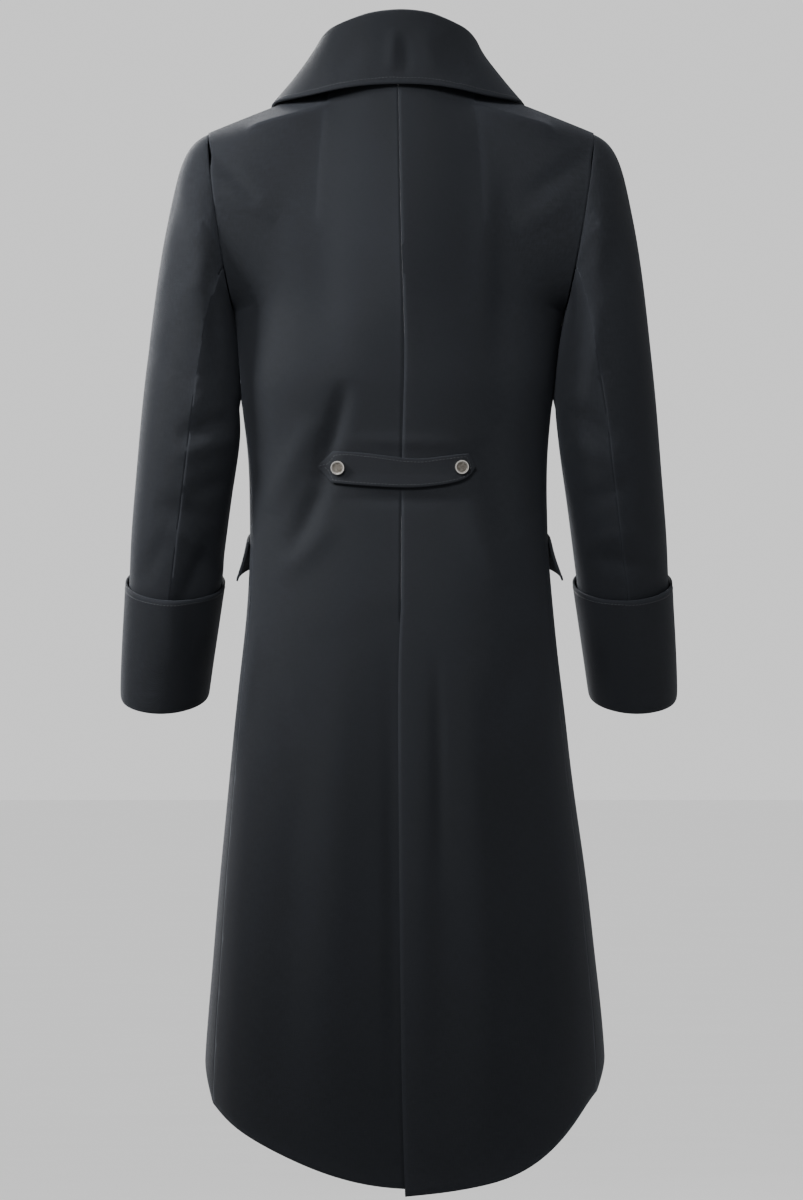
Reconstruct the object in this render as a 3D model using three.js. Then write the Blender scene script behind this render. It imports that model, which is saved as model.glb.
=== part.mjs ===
// A long worn tailcoat, seen best from the back. Millimetres, +Z up.
// The wearer faces -Y and the wearer's left is +X. The origin lies between the two neck points
// of the shoulder seams, where the coat is carried.
import * as THREE from 'three';

// Cloth and seams
const CLOTH = 2.0;            // thickness of the coating cloth
const COLLAR_CLOTH = 2.4;     // the collar is two layers, pressed
const SEAM_GAP = 0.5;         // space between two pieces at a seam
const LAP = 0.6;              // space between a piece and what it lies on

// Body levels
const NECK_BACK = { y: 58, z: 6 };
const NECK_SIDE = { x: 80, z: 0 };
const SHOULDER = { x: 216, z: -53 };
const SHOULDER_ARCH = 0.8;    // the shoulder seam rises a little between its ends
const UNDERARM = -256;
const CHEST = -330;           // the bodice above is stretched between its own edges, from here up
const BACK_SQUARE = 2.4;      // how square the ring is in plan; 2 is an ellipse

// A row for each level below the armholes: half width, back and front depth, where the side lies,
// the lean of the whole ring to the wearer's left, and the side seam's angle from the centre back.
const LEVELS = [
  { z: -200, half: 189, back: 111, front: -132, side: 0, lean: 1.0, seam: 88 },
  { z: -256, half: 184, back: 109, front: -136, side: 0, lean: 2.0, seam: 87 },
  { z: -300, half: 179.5, back: 104, front: -136, side: 0, lean: 3.4, seam: 85 },
  { z: -359, half: 174.5, back: 94, front: -132, side: -2, lean: 4.6, seam: 82 },
  { z: -411, half: 169, back: 86, front: -127, side: -4, lean: 3.7, seam: 80 },
  { z: -461, half: 167.6, back: 86, front: -125, side: -5, lean: 3.1, seam: 79 },
  { z: -526, half: 168.1, back: 96, front: -126, side: -4, lean: 2.1, seam: 78 },
  { z: -589, half: 172, back: 107, front: -128, side: -2, lean: 0.8, seam: 77 },
  { z: -655, half: 179, back: 115, front: -131, side: 0, lean: 1.3, seam: 76 },
  { z: -715, half: 186, back: 121, front: -134, side: 2, lean: 0.6, seam: 76 },
  { z: -784, half: 192.8, back: 127, front: -138, side: 4, lean: 0.5, seam: 76 },
  { z: -844, half: 200.3, back: 132, front: -142, side: 6, lean: -1.5, seam: 76 },
  { z: -905, half: 207.4, back: 137, front: -146, side: 8, lean: -2.5, seam: 76 },
  { z: -974, half: 213.4, back: 142, front: -150, side: 10, lean: -3.5, seam: 76 },
  { z: -1039, half: 220, back: 147, front: -154, side: 12, lean: -4.5, seam: 76 },
  { z: -1090, half: 223.6, back: 150, front: -157, side: 13, lean: -4.5, seam: 76 },
  { z: -1250, half: 228, back: 158, front: -160, side: 14, lean: -4.5, seam: 76 },
];

// The centre back above the chest.
const CENTRE_BACK = [
  { z: -330, y: 99.5 },
  { z: -256, y: 109 },
  { z: -200, y: 111 },
  { z: -150, y: 107 },
  { z: -100, y: 97 },
  { z: -60, y: 84 },
  { z: -30, y: 72 },
  { z: 6, y: 58 },
];
// The upper back is full just behind the shoulder seam, where the collar lies on it.
const BACK_FULLNESS = { full: 30, peak: 0.075 };
// The roll line of a front edge, from the chest up to the neck.
const ROLL_LINE = [
  { z: -330, x: -16, y: -134.4 },
  { z: -270, x: 7, y: -135.5 },
  { z: -210, x: 30, y: -131 },
  { z: -150, x: 50, y: -118 },
  { z: -100, x: 63, y: -98 },
  { z: -50, x: 73, y: -62 },
  { z: -20, x: 78, y: -28 },
  { z: 0, x: 80, y: 0 },
];

// Hem of the tails, and the vent that opens below the centre seam. The right half laps over.
// The hem's height is given across the back, as a share of the half width from the centre.
const HEM = [
  { share: 0, left: -1234, right: -1241.5 },
  { share: 0.15, left: -1233.5, right: -1238.5 },
  { share: 0.3, left: -1227.5, right: -1233 },
  { share: 0.45, left: -1216, right: -1225.5 },
  { share: 0.6, left: -1200, right: -1211 },
  { share: 0.7, left: -1188, right: -1195 },
  { share: 0.8, left: -1175.5, right: -1175 },
  { share: 0.88, left: -1163.5, right: -1154.5 },
  { share: 0.94, left: -1150.5, right: -1136 },
  { share: 1, left: -1131, right: -1119 },
];
const VENT = { top: -600, full: -616, underlap: 36, step: 3.2, flat: 14, fade: 52 };
// The right half's free edge: how far it passes the middle towards the left.
const VENT_EDGE = [
  { z: 0, x: 0 },
  { z: -560, x: 0 },
  { z: -598, x: 0 },
  { z: -622, x: 2.6 },
  { z: -675, x: 3.6 },
  { z: -865, x: 2.2 },
  { z: -1015, x: 0.8 },
  { z: -1140, x: -1 },
  { z: -1250, x: -4.6 },
];

// Soft flutes of the skirt: their swing as a share of the width, and where they start and end.
const FLUTES = { swing: 0.024, from: -620, full: -1180 };

// The centre seam wanders a little to the wearer's right between the shoulder blades.
const CENTRE_SEAM = [
  { z: 6, x: 3.2 },
  { z: -162, x: 0 },
  { z: -290, x: -3.8 },
  { z: -411, x: -1.2 },
  { z: -600, x: 0 },
  { z: -1250, x: 0 },
];

// The cutaway: angle of the front edge from the centre back, below the waist.
const CUTAWAY = [
  { z: -470, angle: 184 },
  { z: -486, angle: 178 },
  { z: -520, angle: 166 },
  { z: -600, angle: 150 },
  { z: -700, angle: 138 },
  { z: -800, angle: 129 },
  { z: -900, angle: 121 },
  { z: -1000, angle: 114 },
  { z: -1100, angle: 108 },
];
const FRONT_LAP = { x: 16, step: 3.2, from: 42, fade: 90, top: -230 };
const FRONT_HEM = { corner: -1072, round: 1.5 };

// Sleeve rings, from the armhole to the wrist: the outer and inner side of the ring, its middle
// and half depth along Y, its forward tilt, and the angle of the hind seam from the inner side.
// A touch value puts the ring's inner side that far from the coat's body.
const SLEEVE = [
  { outX: 216.5, outZ: -53, inX: 184.6, inZ: -256, y: 0, deep: 62, tilt: 0, hind: 60 },
  { outX: 231, outZ: -60.5, touch: 1.6, inZ: -258, y: 0, deep: 65, tilt: 0, hind: 62 },
  { outX: 243, outZ: -77, touch: 1.8, inZ: -264, y: 0, deep: 68, tilt: 0, hind: 64 },
  { outX: 251.6, outZ: -103, touch: 1.2, inZ: -276, y: 1, deep: 70, tilt: 0, hind: 68 },
  { outX: 260, outZ: -140, touch: 1, inZ: -294, y: 2, deep: 71, tilt: 0, hind: 73 },
  { outX: 268.6, outZ: -188, touch: 1, inZ: -316, y: 3, deep: 70, tilt: 0, hind: 79 },
  { outX: 275.8, outZ: -240, touch: 1, inZ: -338, y: 4, deep: 68, tilt: 0, hind: 84 },
  { outX: 282, outZ: -295, touch: 1.4, inZ: -362, y: 4, deep: 66, tilt: 0, hind: 88 },
  { outX: 287.8, outZ: -345, inX: 176.2, inZ: -392, y: 2, deep: 64, tilt: 4, hind: 91 },
  { outX: 292, outZ: -392, inX: 180, inZ: -422, y: -4, deep: 62, tilt: 9, hind: 92 },
  { outX: 295.5, outZ: -436, inX: 184.8, inZ: -452, y: -13, deep: 61, tilt: 14, hind: 93 },
  { outX: 299.4, outZ: -480, inX: 189.5, inZ: -485, y: -25, deep: 60, tilt: 18, hind: 94 },
  { outX: 302.4, outZ: -520, inX: 194, inZ: -520, y: -38, deep: 59, tilt: 20, hind: 95 },
  { outX: 303.4, outZ: -560, inX: 199.2, inZ: -560, y: -52, deep: 58, tilt: 20, hind: 97 },
  { outX: 306.6, outZ: -600, inX: 204, inZ: -597, y: -66, deep: 57.5, tilt: 20, hind: 98 },
  { outX: 309.2, outZ: -642, inX: 209.8, inZ: -637, y: -81, deep: 57, tilt: 20, hind: 99 },
  { outX: 310.6, outZ: -682, inX: 215.6, inZ: -678, y: -95, deep: 56.5, tilt: 20, hind: 100 },
];
const SLEEVE_LEAN = 2.4;      // both wrists sit this far to the wearer's left
const SLEEVE_RADIUS = 55;     // of a usual ring, which turns the seam's gap into an angle
const SLEEVE_END = 15.85;     // row of the sleeve's end, inside the cuff
const ROW_LENGTH = 40;        // how far one more row would lie past the last
const FORE_SEAM = -62;        // angle of the front sleeve seam
const ARMHOLE = { backSwell: 5, frontHollow: 9 };

// Cuffs, turned back over the sleeve from its end: rows along the sleeve's own rings.
const CUFF = [
  { row: 12.92, out: 5 },
  { row: 13.5, out: 4.4 },
  { row: 14.3, out: 4 },
  { row: 15.2, out: 3.8 },
  { row: 16, out: 3.8 },
  { row: 16.12, out: 2.6 },
  { row: 16.16, out: -1 },
  { row: 16.1, out: -4.6 },
  { row: 15.9, out: -5.6 },
  { row: 15.45, out: -5.6 },
];

// Collar stations from the centre back to the front end: the neck seam, the top of the roll and
// the edge of the fall. The roll is high at the back and drops into the lapels in front.
const COLLAR = [
  { nx: 0, ny: 57, nz: 7, fx: 0, fy: 54, fz: 85, ex: 0, ey: 68, ez: 1 },
  { nx: 30, ny: 53, nz: 6.6, fx: 31, fy: 50, fz: 82, ex: 32, ey: 67, ez: 0 },
  { nx: 55, ny: 41, nz: 5, fx: 54, fy: 40, fz: 74, ex: 66, ey: 62, ez: -4 },
  { nx: 72, ny: 22, nz: 2.6, fx: 73, fy: 25, fz: 65.5, ex: 104, ey: 45, ez: -12.4 },
  { nx: 79, ny: 0, nz: 1.6, fx: 84.5, fy: 5, fz: 53, ex: 134.5, ey: 12, ez: -16.6 },
  { nx: 77, ny: -22, nz: -13, fx: 89.5, fy: -18, fz: 38.5, ex: 143, ey: -24, ez: -22 },
  { nx: 74, ny: -50, nz: -37, fx: 88, fy: -46, fz: 12, ex: 140, ey: -60, ez: -42 },
  { nx: 69, ny: -77, nz: -66, fx: 79, fy: -76, fz: -24, ex: 126, ey: -96, ez: -78 },
  { nx: 65, ny: -91, nz: -84, fx: 74, fy: -97, fz: -56, ex: 112, ey: -118, ez: -104 },
];
const COLLAR_SHAPE = { roll: 5, belly: 2, lean: 3.2, leanFull: 3, sections: 28 };

// Lapels: the share of the front panel's width that each covers, at rows of the bodice counted
// up from the chest, from the collar down to the break.
const LAPEL = [
  { row: 8, wide: 0.44 },
  { row: 7, wide: 0.56 },
  { row: 6, wide: 0.55 },
  { row: 5, wide: 0.5 },
  { row: 4, wide: 0.38 },
  { row: 3, wide: 0.25 },
  { row: 2, wide: 0.08 },
];
const LAPEL_EASE = 1.1;

// Half belt across the back waist, with pointed ends, held by two metal studs.
const BELT = [
  { x: 94, top: -427, bottom: -429 },
  { x: 78, top: -410.5, bottom: -445.5 },
  { x: 56, top: -411, bottom: -448 },
  { x: 28, top: -414, bottom: -450 },
  { x: 0, top: -418, bottom: -451.5 },
  { x: -22, top: -419.5, bottom: -451 },
  { x: -44, top: -416.5, bottom: -448.5 },
  { x: -62, top: -414, bottom: -445 },
  { x: -75, top: -413, bottom: -440 },
  { x: -83, top: -427, bottom: -429 },
];
const BELT_CLOTH = 2.2;
const BELT_EASE = 1;            // the belt lies this far off the back
const BELT_STUDS = [{ name: 'left', x: 70, z: -429 }, { name: 'right', x: -67, z: -428 }];
const FRONT_STUDS = [-352, -402, -452];
const STUD = { radius: 8.2, rim: 1.6, high: 3.4, dish: 1.2 };

// Hip pocket flaps: they stand out from the sides by their lower edge.
const FLAP = {
  from: 84, to: 132, top: -512, rise: 26, deep: 44,
  stand: { top: 3.2, back: 15, front: 6 }, curve: 1.3,
};

const NAVY_BLACK = new THREE.MeshStandardMaterial({ color: '#16181d', roughness: 0.9, metalness: 0 });
const DARK_FACING = new THREE.MeshStandardMaterial({ color: '#1b1d22', roughness: 0.85, metalness: 0 });
const STEEL = new THREE.MeshStandardMaterial({ color: '#8a8783', roughness: 0.35, metalness: 1 });

const rad = THREE.MathUtils.degToRad;
const lerp = THREE.MathUtils.lerp;
const ramp = (value, from, to) => THREE.MathUtils.smoothstep((value - from) / (to - from), 0, 1);

// Reads a column of a table at a level or row, along a smooth curve through its rows.
function read(table, key, at, column) {
  const rising = table[table.length - 1][key] > table[0][key];
  const rows = rising ? table : [...table].reverse();
  const last = rows.length - 1;
  if (at <= rows[0][key]) return rows[0][column];
  if (at >= rows[last][key]) return rows[last][column];
  let i = 0;
  while (at > rows[i + 1][key]) i += 1;
  const slope = (k) => {
    const a = rows[Math.max(k - 1, 0)];
    const b = rows[Math.min(k + 1, last)];
    return (b[column] - a[column]) / (b[key] - a[key]);
  };
  const step = rows[i + 1][key] - rows[i][key];
  const t = (at - rows[i][key]) / step;
  return rows[i][column] * (1 + 2 * t) * (1 - t) ** 2 + rows[i + 1][column] * t * t * (3 - 2 * t)
    + slope(i) * step * t * (1 - t) ** 2 - slope(i + 1) * step * t * t * (1 - t);
}
const level = (z, column) => read(LEVELS, 'z', z, column);

// A closed wall from a grid of points on its seen face. The other face lies a cloth's thickness
// behind, along each point's normal: the one given, or else the grid's own, turned by facing.
function wall(grid, { core, facing = 1, thick = CLOTH, ring = false, normal = () => null }) {
  const rows = grid.length;
  const columns = grid[0].length;
  const pick = (i, j) => grid[THREE.MathUtils.clamp(i, 0, rows - 1)][
    ring ? (j + columns) % columns : THREE.MathUtils.clamp(j, 0, columns - 1)];
  const across = (i, j) => {
    const along = pick(i + 1, j).clone().sub(pick(i - 1, j));
    return pick(i, j + 1).clone().sub(pick(i, j - 1)).cross(along).normalize();
  };
  const midRow = Math.floor(rows / 2);
  const midColumn = Math.floor(columns / 2);
  const middle = pick(midRow, midColumn);
  const turned = core && across(midRow, midColumn).dot(middle.clone().sub(core(middle))) < 0;
  const outward = turned ? -facing : facing;
  const seen = [];
  const hidden = [];
  for (let i = 0; i < rows; i += 1) {
    for (let j = 0; j < columns; j += 1) {
      const n = normal(i, j) ?? across(i, j).multiplyScalar(outward);
      seen.push(...pick(i, j).toArray());
      hidden.push(...pick(i, j).clone().addScaledVector(n, -thick).toArray());
    }
  }
  const index = [];
  const back = rows * columns;
  const quad = (a, b, c, d) => index.push(a, b, c, a, c, d);
  const acrossCount = ring ? columns : columns - 1;
  const at = (i, j) => i * columns + (j % columns);
  for (let i = 0; i < rows - 1; i += 1) {
    for (let j = 0; j < acrossCount; j += 1) {
      quad(at(i, j), at(i, j + 1), at(i + 1, j + 1), at(i + 1, j));
      quad(back + at(i, j), back + at(i + 1, j), back + at(i + 1, j + 1), back + at(i, j + 1));
    }
  }
  for (let j = 0; j < acrossCount; j += 1) {
    quad(at(0, j + 1), at(0, j), back + at(0, j), back + at(0, j + 1));
    quad(at(rows - 1, j), at(rows - 1, j + 1), back + at(rows - 1, j + 1), back + at(rows - 1, j));
  }
  if (!ring) {
    for (let i = 0; i < rows - 1; i += 1) {
      const end = columns - 1;
      quad(at(i, 0), at(i + 1, 0), back + at(i + 1, 0), back + at(i, 0));
      quad(at(i + 1, end), at(i, end), back + at(i, end), back + at(i + 1, end));
    }
  }
  return closedGeometry([...seen, ...hidden], index);
}

// Turns the triangles over when the closed body would be inside out.
function closedGeometry(positions, index) {
  let volume = 0;
  const corner = (k) => new THREE.Vector3().fromArray(positions, index[k] * 3);
  for (let k = 0; k < index.length; k += 3) {
    volume += corner(k).dot(corner(k + 1).cross(corner(k + 2)));
  }
  if (volume < 0) {
    for (let k = 0; k < index.length; k += 3) {
      [index[k + 1], index[k + 2]] = [index[k + 2], index[k + 1]];
    }
  }
  const geometry = new THREE.BufferGeometry();
  geometry.setAttribute('position', new THREE.Float32BufferAttribute(positions, 3));
  geometry.setIndex(index);
  geometry.computeVertexNormals();
  return geometry;
}

// The body's ring below the armholes: a point at an angle from the centre back, on one side.
// Soft flutes start at the hips and deepen towards the hem.
function bodyPoint(side, angle, z) {
  const power = 2 / BACK_SQUARE;
  const sine = Math.sin(angle);
  const cosine = Math.cos(angle);
  const middle = level(z, 'side');
  const depth = cosine > 0 ? level(z, 'back') - middle : middle - level(z, 'front');
  const flute = 1 + FLUTES.swing * ramp(z, FLUTES.from, FLUTES.full) * Math.sin(4 * angle);
  const x = level(z, 'half') * Math.sign(sine) * Math.abs(sine) ** power;
  const y = depth * Math.sign(cosine) * Math.abs(cosine) ** power;
  return new THREE.Vector3(side * x * flute + level(z, 'lean'), middle + y * flute, z);
}
// The angle at which the ring passes a given x, at the back.
function angleAt(side, x, z) {
  const share = side * (x - level(z, 'lean')) / level(z, 'half');
  return Math.asin(Math.sign(share) * Math.abs(share) ** (BACK_SQUARE / 2));
}
const bodyCore = (p) => new THREE.Vector3(0, 0, Math.min(p.z, -90));

// The armhole's loop: angle 0 under the arm, 90 at the back, 180 at the shoulder, 270 in front.
function armhole(side, angle) {
  const t = (1 - Math.cos(angle)) / 2;
  const sine = Math.sin(angle);
  const swell = sine > 0 ? ARMHOLE.backSwell * sine : ARMHOLE.frontHollow * sine;
  const x = lerp(level(UNDERARM, 'half'), SHOULDER.x, t) + swell;
  const lean = level(UNDERARM, 'lean') * (1 - t);
  return new THREE.Vector3(side * x + lean, SLEEVE[0].deep * sine, lerp(UNDERARM, SHOULDER.z, t));
}

// A patch stretched between its four edges.
function stretch(bottom, top, inner, outer, u, w) {
  const p = new THREE.Vector3();
  const corner = (edge, share, weight) => p.addScaledVector(edge(share), weight);
  corner(bottom, u, 1 - w);
  corner(top, u, w);
  corner(inner, w, 1 - u);
  corner(outer, w, u);
  corner(bottom, 0, -(1 - u) * (1 - w));
  corner(bottom, 1, -u * (1 - w));
  corner(top, 0, -(1 - u) * w);
  corner(top, 1, -u * w);
  return p;
}

// The outer edge of a bodice panel: up the side seam, then round its half of the armhole.
const SIDE_SHARE = 0.22;
function outerEdge(side, half, w) {
  if (w <= SIDE_SHARE) {
    const z = lerp(CHEST, UNDERARM, w / SIDE_SHARE);
    return bodyPoint(side, sideSeam(half, z), z);
  }
  const turn = Math.PI * (w - SIDE_SHARE) / (1 - SIDE_SHARE);
  const p = armhole(side, half * turn);
  p.y += half * SEAM_GAP / 2;
  return p;
}
const sideSeam = (half, z) => rad(level(z, 'seam')) - half * SEAM_GAP / 2 / level(z, 'half');

const NECK_SHARE = 0.4;
function backTop(side, u) {
  if (u <= NECK_SHARE) {
    const turn = (Math.PI / 2) * (u / NECK_SHARE);
    const rise = NECK_BACK.z * Math.cos(turn);
    const seam = read(CENTRE_SEAM, 'z', NECK_BACK.z, 'x') + side * SEAM_GAP / 2;
    const x = lerp(seam, side * NECK_SIDE.x, Math.sin(turn));
    return new THREE.Vector3(x, NECK_BACK.y * Math.cos(turn) + SEAM_GAP / 2, rise);
  }
  return shoulderSeam(side, (u - NECK_SHARE) / (1 - NECK_SHARE), SEAM_GAP / 2);
}
function shoulderSeam(side, t, shift) {
  const arch = SHOULDER_ARCH * Math.sin(Math.PI * t);
  const z = lerp(NECK_SIDE.z, SHOULDER.z, t) + arch;
  return new THREE.Vector3(side * lerp(NECK_SIDE.x, SHOULDER.x, t), shift, z);
}

// Where a back half starts at its inner edge: the centre seam, then the vent.
function innerX(side, z) {
  const seam = read(CENTRE_SEAM, 'z', z, 'x') + side * SEAM_GAP / 2;
  if (side < 0) return seam + read(VENT_EDGE, 'z', z, 'x');
  return seam - VENT.underlap * ramp(z, VENT.top, VENT.full);
}
// How far the left half dips in, so that it can run on under the right.
function dip(side, x, z) {
  if (side < 0) return 0;
  return VENT.step * ramp(z, VENT.top + 26, VENT.top + 6) * (1 - ramp(x, VENT.flat, VENT.fade));
}

function backPoint(side, u, v) {
  if (v >= 0) {
    const bottom = (t) => backLow(side, t, CHEST);
    const inner = (t) => {
      const z = lerp(CHEST, NECK_BACK.z, t);
      return new THREE.Vector3(innerX(side, z), read(CENTRE_BACK, 'z', z, 'y'), z);
    };
    const p = stretch(bottom, (t) => backTop(side, t), inner, (t) => outerEdge(side, 1, t), u, v);
    const below = (1 - v) / BACK_FULLNESS.peak;
    p.y += BACK_FULLNESS.full * Math.sin(Math.PI * u) * below * Math.exp(1 - below);
    return p;
  }
  return backLow(side, u, lerp(CHEST, tailHem(side, u), -v));
}
// The tail's hem is rounded up into the side seam.
function tailHem(side, u) {
  const share = Math.sin(u * rad(LEVELS[LEVELS.length - 1].seam)) ** (2 / BACK_SQUARE);
  return read(HEM, 'share', share, side > 0 ? 'left' : 'right');
}
function backLow(side, u, z) {
  const start = angleAt(side, innerX(side, z), z);
  const p = bodyPoint(side, lerp(start, sideSeam(1, z), u), z);
  p.y -= dip(side, p.x, z);
  return p;
}

// Where a front ends at the middle: it laps past the centre, then runs away to the side.
function frontEdge(z) {
  return rad(read(CUTAWAY, 'z', z, 'angle'));
}
function lap(side, x, z) {
  if (side < 0) return 0;
  const near = 1 - ramp(x, FRONT_LAP.from, FRONT_LAP.fade);
  return FRONT_LAP.step * near * (1 - ramp(z, FRONT_LAP.top - 20, FRONT_LAP.top + 20));
}
function frontLow(side, u, z) {
  const overlap = Math.PI + (FRONT_LAP.x / level(z, 'half')) ** (BACK_SQUARE / 2);
  const end = z > CUTAWAY[0].z ? overlap : Math.min(frontEdge(z), overlap);
  const p = bodyPoint(side, lerp(end, sideSeam(-1, z), u), z);
  p.y -= lap(side, side * p.x, z);
  return p;
}
function frontPoint(side, u, v) {
  if (v >= 0) {
    const bottom = (t) => frontLow(side, t, CHEST);
    const roll = (t) => {
      const z = lerp(CHEST, NECK_SIDE.z, t);
      const x = read(ROLL_LINE, 'z', z, 'x') * side;
      return new THREE.Vector3(x, read(ROLL_LINE, 'z', z, 'y') - SEAM_GAP / 2 - lap(side, side * x, z), z);
    };
    const top = (t) => shoulderSeam(side, t, -SEAM_GAP / 2);
    return stretch(bottom, top, roll, (t) => outerEdge(side, -1, t), u, v);
  }
  const hem = lerp(FRONT_HEM.corner, tailHem(side, 1), u ** FRONT_HEM.round);
  return frontLow(side, u, lerp(CHEST, hem, -v));
}

function gridOf(rows, columns, point) {
  return rows.map((v) => columns.map((u) => point(u, v)));
}
function steps(count, from = 0, to = 1) {
  return Array.from({ length: count + 1 }, (_, k) => lerp(from, to, k / count));
}

// The direction away from the body at a ring's point, the same for the two pieces of a seam.
function ringNormal(side, angle, z) {
  const turn = bodyPoint(side, angle + 0.02, z).sub(bodyPoint(side, angle - 0.02, z));
  const rise = bodyPoint(side, angle, z + 4).sub(bodyPoint(side, angle, z - 4));
  return rise.cross(turn).multiplyScalar(side).normalize();
}

// The same at the centre back, where the two halves meet.
function centreNormal(z) {
  const depth = (height) => (height > CHEST ? read(CENTRE_BACK, 'z', height, 'y') : level(height, 'back'));
  return new THREE.Vector3(0, 8, depth(z - 4) - depth(z + 4)).normalize();
}

const BODICE_ROWS = 11;
const HIGH_ROWS = steps(BODICE_ROWS, 1, 0);
const WAIST_ROWS = steps(9, -0.025, -0.27);
const SKIRT_ROWS = steps(9, -0.335, -1);
// Rows of the left back that let the vent's extension start where it should.
const VENT_ROWS = [4, -2, -17].map((above) => (VENT.top + above - CHEST) / (CHEST - HEM[0].left));
function bodyPanel(side, point) {
  const isFront = point === frontPoint;
  const extension = isFront || side < 0 ? [] : VENT_ROWS;
  const rows = [...HIGH_ROWS, ...WAIST_ROWS, ...extension, ...SKIRT_ROWS];
  const fall = SHOULDER.x - NECK_SIDE.x;
  const ridge = new THREE.Vector3(side * (NECK_SIDE.z - SHOULDER.z), 0, fall).normalize();
  const columns = steps(10);
  const grid = gridOf(rows, columns, (u, v) => point(side, u, v));
  const onShoulder = (j) => isFront || columns[j] > NECK_SHARE - 0.01;
  const last = columns.length - 1;
  const normal = (i, j) => {
    if (i === 0 && onShoulder(j)) return ridge;
    if (j === last && rows[i] < SIDE_SHARE) {
      const { z } = grid[i][j];
      return ringNormal(side, sideSeam(0, z), z);
    }
    if (j === 0 && !isFront) return centreNormal(grid[i][j].z);
    return null;
  };
  return wall(grid, { core: bodyCore, normal });
}

// The sides of a sleeve's ring in the coat's own place.
function sleeveSide(side, index) {
  const row = SLEEVE[index];
  const lean = SLEEVE_LEAN * ramp(row.outZ, SHOULDER.z, -480);
  if (row.touch === undefined) return { outX: side * row.outX + lean, inX: side * row.inX + lean };
  const bodyX = side * level(row.inZ, 'half') + level(row.inZ, 'lean');
  return { outX: side * row.outX + lean, inX: bodyX + side * row.touch };
}
function sleeveTable(side) {
  return SLEEVE.map((row, index) => ({ ...row, ...sleeveSide(side, index), row: index }));
}
const LEFT_SLEEVE = sleeveTable(1);
const RIGHT_SLEEVE = sleeveTable(-1);

// A point of the sleeve at a row of its table, fractions allowed, moved out by a distance.
function sleevePoint(side, angle, row, out = 0) {
  const table = side > 0 ? LEFT_SLEEVE : RIGHT_SLEEVE;
  const end = SLEEVE.length - 1;
  const get = (column) => read(table, 'row', Math.min(row, end), column);
  const inner = new THREE.Vector3(get('inX'), get('y'), get('inZ'));
  const outer = new THREE.Vector3(get('outX'), get('y'), get('outZ'));
  const centre = inner.clone().lerp(outer, 0.5);
  const tilt = rad(get('tilt'));
  const deep = new THREE.Vector3(0, Math.cos(tilt), -Math.sin(tilt)).multiplyScalar(get('deep'));
  const ray = inner.sub(centre).multiplyScalar(Math.cos(angle)).addScaledVector(deep, Math.sin(angle));
  const armholeShare = 1 - Math.min(row, 1);
  const p = centre.clone().add(ray);
  if (armholeShare > 0) {
    const seam = armhole(side, angle);
    seam.x += side * 2 * SEAM_GAP;
    p.lerp(seam, armholeShare);
  }
  const past = Math.max(row - end, 0) * ROW_LENGTH;
  const down = new THREE.Vector3(0, -Math.sin(tilt), -Math.cos(tilt));
  return p.addScaledVector(ray.normalize(), out).addScaledVector(down, past);
}

// The direction out of a sleeve, the same for the two pieces of a seam.
function sleeveNormal(side, angle, row) {
  const p = sleevePoint(side, angle, row);
  if (row === 0) {
    const high = (SHOULDER.z - UNDERARM) / 2;
    return new THREE.Vector3(0, p.y / SLEEVE[0].deep ** 2, (p.z - UNDERARM - high) / high ** 2).normalize();
  }
  const turn = sleevePoint(side, angle + 0.06, row).sub(sleevePoint(side, angle - 0.06, row));
  const fall = sleevePoint(side, angle, row + 0.1).sub(sleevePoint(side, angle, row - 0.1));
  const n = turn.cross(fall).normalize();
  const middle = sleevePoint(side, 0, row).lerp(sleevePoint(side, Math.PI, row), 0.5);
  return n.dot(p.sub(middle)) < 0 ? n.negate() : n;
}

function sleevePanel(side, from, to, count) {
  const rows = [0, ...steps(15, 1, SLEEVE_END)];
  const half = SEAM_GAP / 2 / SLEEVE_RADIUS;
  const angles = rows.map((row) => steps(count, from(row) + half, to(row) - half));
  const grid = rows.map((row, i) => angles[i].map((angle) => sleevePoint(side, angle, row)));
  return wall(grid, { normal: (i, j) => sleeveNormal(side, angles[i][j], rows[i]) });
}
const hindSeam = (row) => rad(read(LEFT_SLEEVE, 'row', row, 'hind'));
const topSleeve = (side) => sleevePanel(side, hindSeam, () => rad(360 + FORE_SEAM), 12);
const underSleeve = (side) => sleevePanel(side, () => rad(FORE_SEAM), hindSeam, 8);

function cuff(side) {
  const angles = steps(24, 0, 2 * Math.PI).slice(0, -1);
  const grid = CUFF.map(({ row, out }) => angles.map((angle) => sleevePoint(side, angle, row, out)));
  const middle = CUFF[2].row;
  const core = () => sleevePoint(side, 0, middle).lerp(sleevePoint(side, Math.PI, middle), 0.5);
  return wall(grid, { core, ring: true });
}

// One collar section from the neck seam up, over the roll and down to the edge of the fall.
function collarSection(station) {
  const get = (column) => read(COLLAR_ROWS, 'row', Math.abs(station), column);
  const side = station < 0 ? -1 : 1;
  const neck = new THREE.Vector3(side * get('nx'), get('ny'), get('nz'));
  const lean = COLLAR_SHAPE.lean * ramp(Math.abs(station), 0, COLLAR_SHAPE.leanFull);
  const roll = new THREE.Vector3(side * get('fx') + lean, get('fy'), get('fz'));
  const edge = new THREE.Vector3(side * get('ex') + lean, get('ey'), get('ez'));
  const out = edge.clone().sub(neck).setZ(0).normalize();
  const turn = (angle) => {
    const p = roll.clone().addScaledVector(out, -COLLAR_SHAPE.roll * Math.cos(angle));
    p.z += COLLAR_SHAPE.roll * (Math.sin(angle) - 1);
    return p;
  };
  const inside = turn(0);
  const outside = turn(Math.PI);
  const belly = (t) => {
    const sink = -COLLAR_SHAPE.belly * Math.sin(Math.PI * t);
    return outside.clone().lerp(edge, t).addScaledVector(out, sink);
  };
  return [neck, neck.clone().lerp(inside, 0.5), inside, turn(rad(50)), turn(rad(90)), turn(rad(130)),
    outside, belly(0.33), belly(0.67), edge];
}
const COLLAR_ROWS = COLLAR.map((row, index) => ({ ...row, row: index }));
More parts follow.
